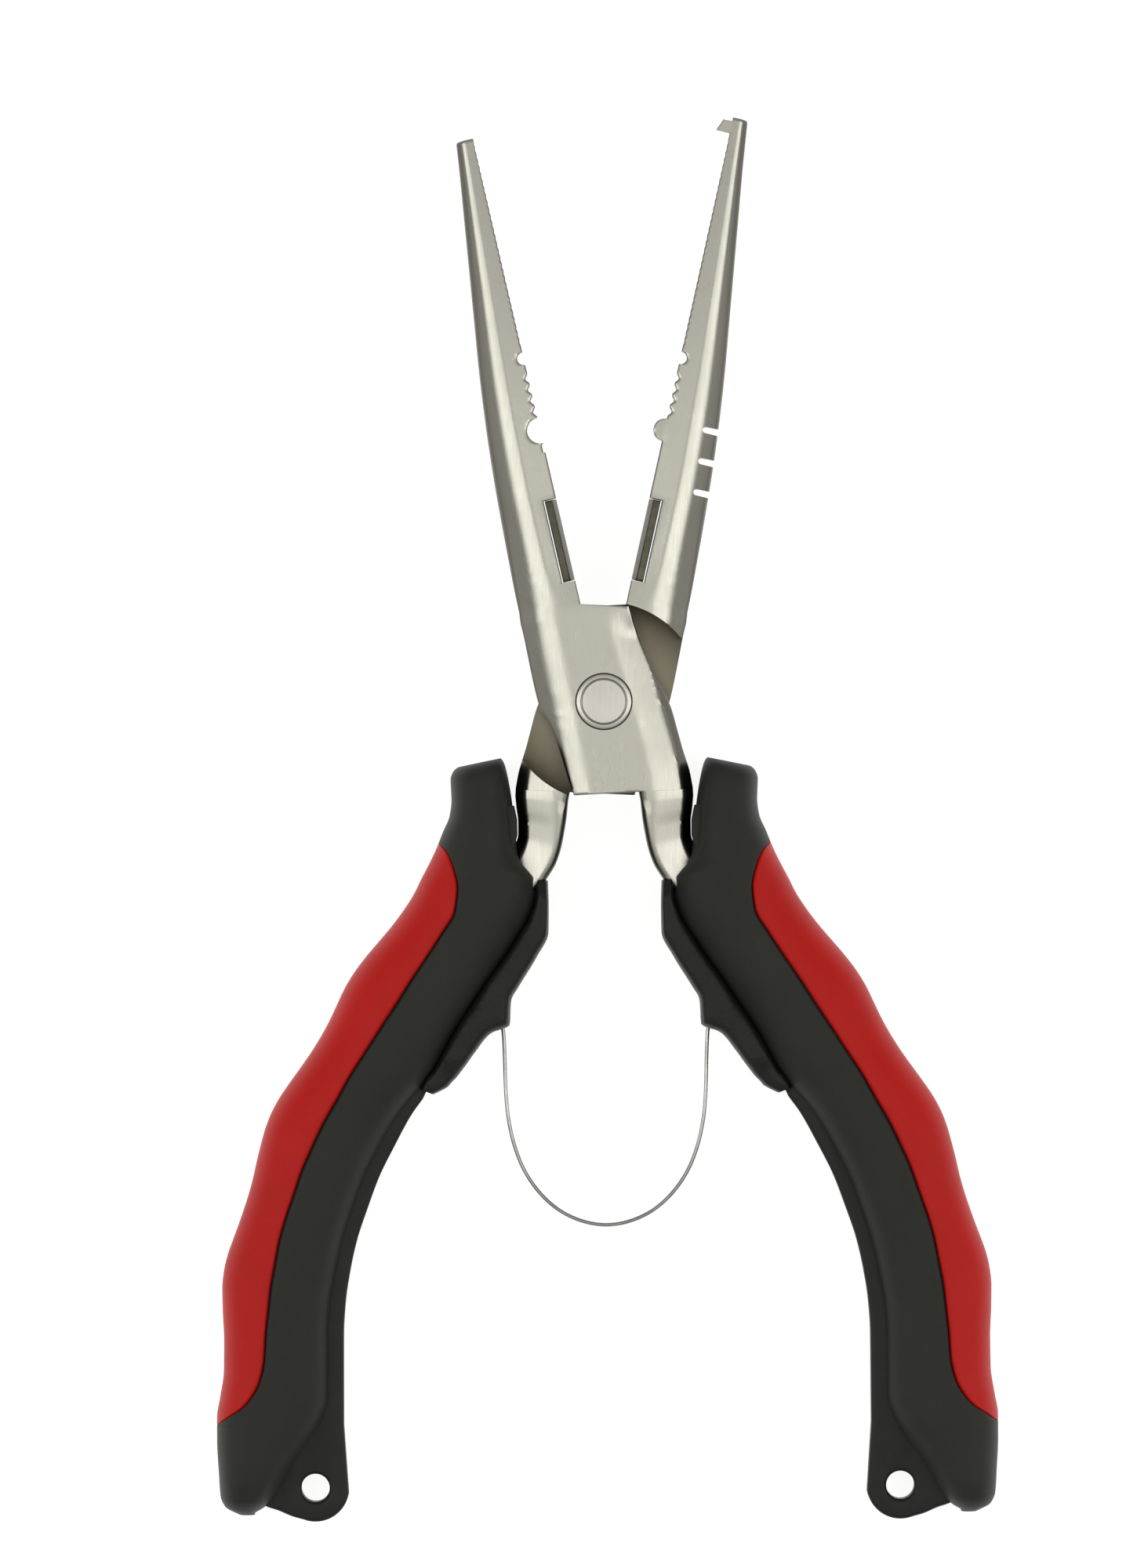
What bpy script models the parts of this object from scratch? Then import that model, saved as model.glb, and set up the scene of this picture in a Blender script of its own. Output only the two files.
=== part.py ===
"""Long-nose fishing pliers, opened 25 degrees, lying flat.

Frame: metres, +Y towards the jaw tips, +Z up through the pivot rivet, +X to the right handle, origin at the centre of the
footprint on the rest plane. All tables are millimetres. In the handle tables the first number is the depth below the pivot,
measured along -Y, and the second is the distance from the centre line; the left handle is the right one mirrored.
"""

import math

import bmesh
import bpy
from mathutils import Vector

# ---------------------------------------------------------------- driving dimensions (mm)
HALF_OPEN = 12.7  # degrees each jaw stands from the centre line
MID_Z = 7.0  # height of the parting plane of the lap joint
LAP_GAP = 0.3  # between the two half laps
HEAD_HALF = 4.5  # half thickness of the head
LAP_R = 12.75  # radius of the concentric shoulders
FACE = 0.1  # how far each jaw face stands back from the closing plane
FRONT_TIP = 73.7
REAR_TIP = 76.3
CUT_LO, CUT_HI, CUT_W = 16.0, 26.5, 1.5  # cutter inserts
RIVET_R, RIVET_HEAD_R, RIVET_HEAD = 2.6, 3.6, 1.2
GRIP_HALF = 7.0  # half thickness of the grips
WALL = 3.2  # from the grip surface to the core
GAP = 0.3
INLAY_T = 1.4
EYE_X, EYE_V, EYE_R, EYE_HOLE = 37.25, 100.0, 4.3, 1.8
EYE_HALF = 2.6
SOCKET_X, SOCKET_V, SOCKET_R = 13.1, 40.2, 0.95
BOW_V = 66.8
WIRE_R = 0.26

TH = math.radians(HALF_OPEN)
TIP_Y = REAR_TIP * math.cos(TH)
PIVOT_Y = (EYE_V + EYE_R - TIP_Y) / 2


# ---------------------------------------------------------------- helpers
def curve(table):
    """A smooth function through the rows of a table (monotone cubic between rows)."""
    xs = [row[0] for row in table]
    ys = [row[1] for row in table]
    steps = [(ys[i + 1] - ys[i]) / (xs[i + 1] - xs[i]) for i in range(len(xs) - 1)]
    slopes = [steps[0]]
    for a, b in zip(steps, steps[1:]):
        slopes.append(0.0 if a * b <= 0 else 2 * a * b / (a + b))
    slopes.append(steps[-1])

    def value(x):
        if x <= xs[0]:
            return ys[0]
        if x >= xs[-1]:
            return ys[-1]
        i = max(k for k in range(len(xs) - 1) if xs[k] <= x)
        h = xs[i + 1] - xs[i]
        t = (x - xs[i]) / h
        return (
            ys[i] * (2 * t**3 - 3 * t**2 + 1)
            + ys[i + 1] * (3 * t**2 - 2 * t**3)
            + h * (slopes[i] * (t**3 - 2 * t**2 + t) + slopes[i + 1] * (t**3 - t**2))
        )

    return value


# ---------------------------------------------------------------- scene
for old in list(bpy.data.objects):
    bpy.data.objects.remove(old, do_unlink=True)
PARTS = bpy.data.collections.new("Fishing_Pliers")
CUTTERS = bpy.data.collections.new("Cutters")
for collection in (PARTS, CUTTERS):
    bpy.context.scene.collection.children.link(collection)
CUTTERS.hide_render = True


def material(name, colour, roughness, metallic):
    made = bpy.data.materials.new(name)
    made.use_nodes = True
    shader = made.node_tree.nodes["Principled BSDF"]
    shader.inputs["Base Color"].default_value = (*colour, 1)
    shader.inputs["Roughness"].default_value = roughness
    shader.inputs["Metallic"].default_value = metallic
    return made


NICKEL = material("satin_nickel", (0.42, 0.41, 0.36), 0.34, 1.0)
CARBIDE = material("dark_carbide", (0.10, 0.095, 0.07), 0.45, 1.0)
RIVET = material("rivet_steel", (0.40, 0.39, 0.35), 0.3, 1.0)
BLACK = material("black_overmould", (0.028, 0.033, 0.028), 0.55, 0.0)
HARD = material("black_nylon", (0.02, 0.021, 0.02), 0.42, 0.0)
RED = material("red_inlay", (0.40, 0.016, 0.010), 0.45, 0.0)
WIRE = material("spring_steel", (0.35, 0.35, 0.34), 0.25, 1.0)


def place(obj, origin, mat, cutter=False):
    obj.location = Vector(origin) * 0.001
    (CUTTERS if cutter else PARTS).objects.link(obj)
    if cutter:
        obj.hide_render = True
        obj.display_type = "WIRE"
    if mat:
        obj.data.materials.append(mat)
    return obj


def loft(name, rings, origin=(0, PIVOT_Y, 0), mat=None, cutter=False, smooth=True):
    """A closed body through rings with the same number of points, given in mm about the pivot, with z measured from the
    rest plane."""
    mesh = bpy.data.meshes.new(name)
    bm = bmesh.new()
    shift = Vector((0, PIVOT_Y, 0)) - Vector(origin)
    rows = [[bm.verts.new((Vector(p) + shift) * 0.001) for p in ring] for ring in rings]
    n = len(rows[0])
    for a, b in zip(rows, rows[1:]):
        for i in range(n):
            bm.faces.new((a[i], a[(i + 1) % n], b[(i + 1) % n], b[i]))
    bm.faces.new(rows[0])
    bm.faces.new(list(reversed(rows[-1])))
    bmesh.ops.recalc_face_normals(bm, faces=bm.faces)
    for face in bm.faces:
        face.smooth = smooth
    bm.to_mesh(mesh)
    bm.free()
    return place(bpy.data.objects.new(name, mesh), origin, mat, cutter)


def prism(name, outline, low, high, **kw):
    """An outline in plan, between two heights."""
    return loft(name, [[(x, y, low) for x, y in outline], [(x, y, high) for x, y in outline]], smooth=False, **kw)


def disc(x, y, radius, steps=32, start=0.0):
    turn = 2 * math.pi / steps
    return [(x + radius * math.cos(start + turn * i), y + radius * math.sin(start + turn * i)) for i in range(steps)]


def boolean(obj, operation, other):
    made = obj.modifiers.new(operation.title() + "_" + other.name, "BOOLEAN")
    made.operation = operation
    made.solver = "EXACT"
    made.object = other


def mirrored(ring, side):
    return [(side * x, y, z) for x, y, z in ring]


# ---------------------------------------------------------------- the levers
# Outer edge of a jaw: distance along the jaw line from the pivot, and distance from the closing plane.
JAW_OUT = curve(
    [(10, 8.0), (15, 7.95), (20, 7.8), (25, 7.6), (30, 7.35), (35, 7.0), (40, 6.55), (45, 6.0), (50, 5.35), (55, 4.7),
     (60, 4.05), (65, 3.4), (70, 2.75), (76.5, 2.0)]
)  # fmt: skip
JAW_HALF = curve([(12, HEAD_HALF), (20, 4.3), (30, 3.9), (45, 3.2), (60, 2.35), (72, 1.65), (77, 1.4)])
# Left edge of the head from the jaw's root to the bottom corner, and right edge from the V to the tang: (x, y).
HEAD_LEFT = [(-10.2, 8.5), (-9.7, 6.0), (-9.2, 3.5), (-8.7, 1.2), (-8.1, -0.9), (-6.9, -2.8), (-6.0, -5.2), (-5.2, -7.8), (-4.4, -10.4), (-3.9, -11.8)]  # fmt: skip
HEAD_RIGHT = [(4.1, 9.2), (5.0, 6.8), (5.9, 4.6), (6.9, 2.6), (7.9, 0.8), (8.7, -1.2), (9.3, -3.4), (10.0, -6.0), (10.9, -8.9), (11.3, -11.0)]  # fmt: skip
# Tang: centre line and half width, on past the mouth of the grip.
TANG = [
    (4.6, -12.6, 11.35, -12.0), (4.8, -14.6, 11.2, -13.6), (5.1, -16.5, 11.0, -15.2), (5.5, -18.5, 11.0, -16.8),
    (6.2, -20.6, 11.4, -18.2), (7.6, -22.9, 12.2, -19.7),
]  # fmt: skip
TANG_LINE = curve(
    [(24, 12.6), (28, 16.2), (32, 19.4), (36, 22.4), (40, 25.0), (44, 27.6), (48, 30.2), (52, 32.6), (56, 34.8), (60, 36.6),
     (64, 38.2), (68, 39.5), (72, 40.5), (76, 41.0), (80, 41.2), (90, 41.4)]
)  # fmt: skip
TANG_WIDE = curve([(24, 2.45), (30, 2.3), (60, 2.1), (92, 1.9)])
TANG_HALF = curve([(12, 4.2), (18, 3.5), (24, 2.9), (32, 2.5), (92, 2.3)])
TANG_END = 90.0

HEAD_DROP_OUT = curve([(0, 2.9), (0.9, 1.7), (2.7, 0.5), (4.3, 0.0)])
HEAD_DROP_IN = curve([(0, 2.0), (0.8, 1.15), (2.6, 0.45), (4.3, 0.0)])
JAW_DROP_OUT = curve([(0, 0.86), (0.08, 0.5), (0.2, 0.24), (0.35, 0.07), (0.5, 0.0)])
JAW_DROP_IN = curve([(0, 0.14), (0.35, 0.03), (0.45, 0.0)])
SIDE = (0.0, 0.09, 0.22, 0.42, 0.66, 0.86, 1.0)  # where each section is sampled, from the outer edge


def section(a, b, half, drop, cut=0.0):
    """A ring from the outer point a to the inner point b: over the top, and back below. A cut takes that much off the inner
    edge, or adds to it where it is negative."""
    length = math.hypot(b[0] - a[0], b[1] - a[1])
    top = []
    for i, part in enumerate(SIDE):
        off = (1 - part) * length
        if cut > 0:
            off = max(off, cut + 0.05 * (len(SIDE) - 1 - i))
        elif i == len(SIDE) - 1:
            off = cut
        part = 1 - off / length
        x, y = a[0] + (b[0] - a[0]) * part, a[1] + (b[1] - a[1]) * part
        off = max(off, 0.0)
        top.append((x, y, max(half - drop(length - off, off, length), 0.12)))
    return [(x, y, MID_Z + z) for x, y, z in top] + [(x, y, MID_Z - z) for x, y, z in reversed(top)]


def jaw_cut(r, kind):
    """How deep the jaw face is cut at r, and below zero how far it stands out."""
    face = 0.0
    if CUT_LO - 0.15 < r < CUT_HI + 0.15:
        face = CUT_W + 0.15
    if 37.2 < r < 43.0:
        face += 0.2 - 0.2 * math.cos((r - 37.2) / 5.8 * 8 * math.pi)
    if abs(r - 44.9) < 0.85:
        face += math.sqrt(0.85**2 - (r - 44.9) ** 2)
    if kind == "front" and abs(r - 35.5) < 1.7:
        face += math.sqrt(1.7**2 - (r - 35.5) ** 2)
    if kind == "front" and 32.6 < r < 33.8:
        face += 0.25
    if kind == "rear" and abs(r - 35.5) < 1.4:
        face -= math.sqrt(1.4**2 - (r - 35.5) ** 2)
    if kind == "rear" and 74.3 < r < 75.8:
        face -= 1.75 * (1 - (r - 74.3) / 1.5 * 0.35)
    return face


def jaw_point(r, t):
    """The front lever's jaw leans to the left."""
    return (-r * math.sin(TH) - t * math.cos(TH), r * math.cos(TH) - t * math.sin(TH))


def jaw_stations(kind):
    tip = FRONT_TIP if kind == "front" else REAR_TIP
    rs = [tip, tip - 0.4, 71, 67, 62, 57, 52, 48, 46, 31, 29, 27.2, 24, 20, 17, 15, 13.3]
    rs += [44.9 + 0.85 * math.sin(math.radians(a)) for a in (-89.9, -60, -30, 0, 30, 60, 89.9)]
    rs += [37.2 + 5.8 * i / 16 for i in range(17)]
    wide = 1.7 if kind == "front" else 1.4
    rs += [35.5 + wide * math.sin(math.radians(a)) for a in (-89.9, -65, -40, -20, 0, 20, 40, 65, 89.9)]
    for edge in (CUT_LO - 0.15, CUT_HI + 0.15):
        rs += [edge - 0.02, edge + 0.02]
    if kind == "front":
        rs += [32.58, 32.62]
    else:
        rs += [74.28, 74.32, 75.78, 75.82]
    return sorted(set(rs), reverse=True)


def lever(kind, grow=0.0, only_tang=False, name=None, cutter=False):
    """The front lever's rings run from the jaw tip through the head into the right handle. The rear lever is the same turned
    half a turn about Y."""
    rings = []
    if not only_tang:
        for r in jaw_stations(kind):
            half = JAW_HALF(r)
            k = min(max((r - 13) / 14, 0), 1)

            def drop(da, db, length, half=half, k=k):
                head = HEAD_DROP_OUT(da) + HEAD_DROP_IN(db) * max(0, (13.4 - r) / 1.0) if r < 13.4 else HEAD_DROP_OUT(da)
                jaw = half * (JAW_DROP_OUT(da / length) + JAW_DROP_IN(db / length))
                return (1 - k) * head + k * jaw

            outer = JAW_OUT(r)
            if r > (FRONT_TIP if kind == "front" else REAR_TIP) - 0.3:
                outer -= 0.25
            rings.append(section(jaw_point(r, outer), jaw_point(r, FACE), half, drop, jaw_cut(r, kind)))

        def drop(da, db, length):
            return HEAD_DROP_OUT(da) + HEAD_DROP_IN(db)

        rings.append(section((-10.75, 10.8), jaw_point(LAP_R - 0.01, FACE), HEAD_HALF, lambda da, db, length: HEAD_DROP_OUT(da)))
        rings.append(section((-10.55, 9.9), (3.3, 12.1), HEAD_HALF, drop))
        for a, b in zip(HEAD_LEFT, HEAD_RIGHT):
            rings.append(section(a, b, HEAD_HALF, drop))
        # the head ends square, and the tang goes on from its right-hand part
        (ax, ay), (bx, by) = HEAD_LEFT[-1], HEAD_RIGHT[-1]
        top = []
        for i, part in enumerate(SIDE):
            x = max(ax + (bx - ax) * part, 4.4 + 0.06 * i)
            y = ay + (x - ax) / (bx - ax) * (by - ay) - 0.05
            top.append((x, y, HEAD_HALF - 0.1 - 0.5 * max(0, 1 - (x - 4.4) / 0.5) - HEAD_DROP_IN(bx - x)))
        rings.append([(x, y, MID_Z + z) for x, y, z in top] + [(x, y, MID_Z - z) for x, y, z in reversed(top)])

    for k, (ax, ay, bx, by) in enumerate(TANG):
        half = TANG_HALF(-(ay + by) / 2) + grow
        length = math.hypot(bx - ax, by - ay)
        ux, uy = (bx - ax) / length * grow, (by - ay) / length * grow
        like_head = 1 - k / (len(TANG) - 1)

        def tang_drop(da, db, length, w=like_head):
            return 0.5 * max(0, 1 - da / 0.5) + w * HEAD_DROP_IN(db) + (1 - w) * 1.1 * max(0, 1 - db / 1.3)

        rings.append(section((ax - ux, ay - uy), (bx + ux, by + uy), half, (lambda *_: 0.0) if grow else tang_drop))
    v = 26.0
    while True:
        slope = TANG_LINE(v + 0.5) - TANG_LINE(v - 0.5)
        long = math.hypot(slope, 1)
        wide = TANG_WIDE(v) + grow
        x, y = TANG_LINE(v), -v
        nx, ny = wide / long, wide * slope / long
        rings.append(section((x - nx, y - ny), (x + nx, y + ny), TANG_HALF(v) + grow, lambda *_: 0.0))
        if v >= TANG_END + grow:
            break
        v = min(v + 6.4, TANG_END + grow)
    if kind == "rear":
        rings = [[(-x, y, 2 * MID_Z - z) for x, y, z in ring] for ring in rings]
    return loft(name, rings, mat=NICKEL if not cutter else None, cutter=cutter)


def pair(kind):
    return (1, -1)[kind == "rear"]


def flip_z(kind, low, high):
    return (low, high) if kind == "front" else (2 * MID_Z - high, 2 * MID_Z - low)


rivet_profile = [
    (0, MID_Z - HEAD_HALF - 0.15), (RIVET_HEAD_R - 0.3, MID_Z - HEAD_HALF - 0.15), (RIVET_HEAD_R, MID_Z - HEAD_HALF + 0.1),
    (RIVET_HEAD_R, MID_Z - HEAD_HALF + RIVET_HEAD), (RIVET_R, MID_Z - HEAD_HALF + RIVET_HEAD),
]  # fmt: skip
rivet_profile += [(r, 2 * MID_Z - z) for r, z in reversed(rivet_profile)]


def turned(name, profile, steps, mat=None, cutter=False):
    """A body of revolution about the pivot axis."""
    mesh = bpy.data.meshes.new(name)
    bm = bmesh.new()
    verts = [bm.verts.new((r * 0.001, 0, z * 0.001)) for r, z in profile]
    for a, b in zip(verts, verts[1:]):
        bm.edges.new((a, b))
    bm.to_mesh(mesh)
    bm.free()
    obj = place(bpy.data.objects.new(name, mesh), (0, PIVOT_Y, 0), mat, cutter)
    screw = obj.modifiers.new("Turned", "SCREW")
    screw.steps = screw.render_steps = steps
    screw.use_merge_vertices = True
    screw.merge_threshold = 0.00001
    screw.use_normal_calculate = True
    screw.use_smooth_shade = True
    return obj


pivot_rivet = turned("pivot_rivet", rivet_profile, 40, RIVET)

LEVERS = {}
for kind in ("front", "rear"):
    body = lever(kind, name=kind + "_lever")
    LEVERS[kind] = body
    # the half lap: everything on the other side of the parting plane inside the shoulders
    lap = prism(kind + "_lap_cut", disc(0, 0, LAP_R, 72), *flip_z(kind, -1, MID_Z + LAP_GAP / 2), cutter=True)
    boolean(body, "DIFFERENCE", lap)
    hole = [(RIVET_R + 0.2, -1), (RIVET_R + 0.2, MID_Z + 2.0)]
    bore = prism(kind + "_bore_cut", disc(0, 0, RIVET_R + 0.2, 40, 0.03), -1, 15, cutter=True)
    boolean(body, "DIFFERENCE", bore)
    seat = prism(
        kind + "_seat_cut", disc(0, 0, RIVET_HEAD_R + 0.2, 40, 0.03),
        *flip_z(kind, MID_Z + HEAD_HALF - RIVET_HEAD - 0.2, 15), cutter=True,
    )  # fmt: skip
    boolean(body, "DIFFERENCE", seat)
    sign = pair(kind)
    # cutter insert: a bar let into the jaw face, ground to an edge on the parting plane
    rings = []
    for r in (CUT_LO, CUT_HI):
        half = JAW_HALF(r)
        cross = [
            (FACE, 0.25), (FACE + 0.55, half * 0.86), (FACE + CUT_W, half * 0.9),
            (FACE + CUT_W, -half * 0.9), (FACE + 0.55, -half * 0.86), (FACE, -0.25),
        ]  # fmt: skip
        rings.append([(sign * jaw_point(r, t)[0], jaw_point(r, t)[1], MID_Z + z) for t, z in cross])
    loft(kind + "_cutter", rings, mat=CARBIDE, smooth=False)

# three leader slots through the outer edge of the rear jaw
for i, r in enumerate((36.6, 32.6, 28.6)):
    outer = JAW_OUT(r)
    outline = [
        (-x, y)
        for x, y in (
            jaw_point(r - 0.42, outer + 1.5), jaw_point(r - 0.42, outer - 1.7), jaw_point(r, outer - 2.05),
            jaw_point(r + 0.42, outer - 1.7), jaw_point(r + 0.42, outer + 1.5),
        )  # fmt: skip
    ]
    boolean(LEVERS["rear"], "DIFFERENCE", prism("leader_slot_cut_" + str(i + 1), outline, 0, 14, cutter=True))


# ---------------------------------------------------------------- the grips
OUTER = curve(
    [(7.9, 17.4), (8.3, 18.7), (8.9, 19.3), (9.8, 19.6), (12.5, 19.5), (14.5, 19.75), (16.5, 20.6), (18.5, 21.4),
     (20.5, 22.35), (22.5, 23.4), (24.5, 24.4), (26.5, 25.7), (28.5, 27.2), (30.5, 28.9), (32.5, 30.6), (34.5, 32.1),
     (36.5, 33.3), (38.5, 34.25), (40.5, 35.2), (42.5, 36.3), (44.5, 37.55), (46.5, 38.95), (48.5, 40.4), (50.5, 41.75),
     (52.5, 42.8), (54.5, 43.55), (56.5, 44.1), (58.5, 44.6), (60.5, 45.05), (62.5, 45.6), (64.5, 46.25), (66.5, 46.95),
     (68.5, 47.7), (70.5, 48.4), (72.5, 48.85), (74.5, 49.05), (77.5, 49.0), (81, 48.85), (85, 48.9), (88.5, 49.4),
     (91, 49.8), (94, 49.8), (98, 49.6), (101, 49.4), (102.4, 48.8), (103.4, 47.0)]
)  # fmt: skip
# Inner edge of the soft cover: the lobe, the mouth, the seam of the spring rail, and the seam of the spine.
INNER = curve(
    [(6.9, 14.2), (7.2, 13.1), (8.2, 12.6), (12.4, 11.8), (16, 11.4), (19, 11.0), (20.6, 10.3), (21.8, 9.2), (22.6, 8.6),
     (24.5, 8.6), (27.1, 9.4), (29.8, 11.0), (32.4, 12.7), (35.6, 15.0), (39.3, 17.5), (42, 19.2), (46, 21.4), (49, 23.4),
     (52.5, 26.2), (56.5, 28.6), (60.5, 30.6), (64.5, 32.1), (68.5, 33.4), (72.5, 34.3), (76.5, 35.0), (80.5, 35.3),
     (88.4, 35.35), (91, 36.1), (94.4, 38.2), (97.3, 40.3), (99.8, 41.7), (101.4, 42.7), (102.4, 43.7), (103.2, 45.0)]
)  # fmt: skip
# Silhouette of the spring rail and then of the core's spine.
RAIL = curve(
    [(22.7, 7.25), (26, 7.15), (29.4, 7.2), (32.5, 8.7), (36.4, 11.1), (37.9, 11.95), (38.6, 12.05), (41.2, 12.2),
     (42.2, 14.6), (44.5, 16.55), (46.5, 18.0), (48.4, 19.6), (49.3, 21.2)]
)  # fmt: skip
SPINE = curve(
    [(48.0, 21.5), (50.5, 23.3), (52.5, 24.75), (56.5, 26.95), (60.5, 28.95), (64.5, 30.45), (68.5, 31.8), (72.5, 32.7),
     (76.5, 33.3), (80.5, 33.55), (92, 33.6)]
)  # fmt: skip
# Edge of the red inlay seen from the front.
RED_EDGE = curve(
    [(17.9, 21.2), (19.3, 20.0), (21.7, 19.15), (23.5, 18.8), (26.5, 19.1), (29.5, 20.8), (32.5, 22.75), (35.5, 24.75),
     (38.5, 26.65), (41.5, 28.65), (44.5, 30.6), (47.5, 32.55), (50.5, 34.2), (53.5, 35.9), (56.5, 37.35), (59.5, 38.7),
     (62.5, 39.75), (65.5, 40.8), (68.5, 41.65), (71.5, 42.2), (74.5, 42.75), (77.5, 43.1), (80.5, 43.45), (83.5, 43.65),
     (86.5, 44.35), (88.5, 45.5), (89.7, 46.6), (90.9, 48.4), (92.0, 49.9)]
)  # fmt: skip
AXIS = curve(
    [(7.5, 15.95), (12, 15.7), (16.5, 16.0), (20.5, 16.6), (24.5, 17.4), (28.5, 19.0), (32.5, 21.8), (36.5, 24.4),
     (40.5, 26.8), (44.5, 29.2), (48.5, 31.8), (52.5, 34.4), (56.5, 36.3), (60.5, 37.8), (64.5, 39.2), (68.5, 40.4),
     (72.5, 41.4), (76.5, 42.0), (80.5, 42.1), (88.5, 42.4), (94, 43.8), (99, 45.4), (102, 46.2), (103.4, 46.4)]
)  # fmt: skip
LEAN = curve([(7.5, -12), (9.5, -8), (13, 0), (19, 8), (25, 25), (31, 34), (40, 32), (48, 29), (56, 23), (64, 18), (70, 12), (76, 5), (82, 1), (104, 0)])  # fmt: skip
THICK = curve([(7.7, 4.3), (8.0, 5.3), (8.8, 6.4), (10, 6.9), (12, 7.15), (16, 7.35), (95, 7.35), (99, 6.9), (101.5, 6.0), (102.8, 4.8), (103.4, 3.4)])  # fmt: skip
POWER = 2.5


def reach(v, edge, sign):
    """Distance from the grip's axis to an edge, along the section at v."""
    lean = math.radians(LEAN(v))
    low, high = 0.0, 22.0
    for _ in range(40):
        mid = (low + high) / 2
        x = AXIS(v) + sign * mid * math.cos(lean)
        if sign * (x - edge(v - sign * mid * math.sin(lean))) < 0:
            low = mid
        else:
            high = mid
    return low


def at(v, across, z):
    """A point of the grip's section at v."""
    lean = math.radians(LEAN(v))
    return (AXIS(v) + across * math.cos(lean), -(v - across * math.sin(lean)), MID_Z + z)


def shape(angle):
    c, s = math.cos(angle), math.sin(angle)
    return math.copysign(abs(c) ** (2 / POWER), c), math.copysign(abs(s) ** (2 / POWER), s)


def grip_ring(v, angles, inset=0.0, flat=GRIP_HALF, inset_z=None):
    out, inn = reach(v, OUTER, 1) - inset, reach(v, INNER, -1) - inset
    tall = THICK(v) - (inset if inset_z is None else inset_z)
    mid, half = (out - inn) / 2, (out + inn) / 2
    ring = []
    for angle in angles:
        c, s = shape(angle)
        ring.append(at(v, mid + half * c, max(-flat, min(flat, tall * s))))
    return ring


def full(steps):
    return [2 * math.pi * (i + 0.5) / steps for i in range(steps)]


def inlay_ring(v, grow):
    """A crescent on the outer side, between the red edge in front and the same behind."""
    out, inn = reach(v, OUTER, 1), reach(v, INNER, -1)
    mid, half = (out - inn) / 2, (out + inn) / 2
    tall = THICK(v)
    edge = reach(v, RED_EDGE, 1)
    c = min(max((edge - mid) / half, -0.9), 0.992)
    wide = math.acos(c ** (POWER / 2)) + grow / 4.5
    ring = []
    for i in range(9):
        cc, ss = shape(wide * (i - 4) / 4)
        k = 1 + grow * 0.2
        ring.append(at(v, mid + half * cc * k, max(-7.0 * k, min(7.0 * k, tall * ss * k))))
    depth = INLAY_T + grow * 1.2
    for i in range(9):
        cc, ss = shape(wide * (4 - i) / 4)
        ring.append(at(v, mid + (half - depth) * cc, max(-7.0, min(7.0, tall * ss)) * (1 - depth / tall)))
    return ring


def spaced(low, high, count):
    return [low + (high - low) * i / (count - 1) for i in range(count)]


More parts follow.
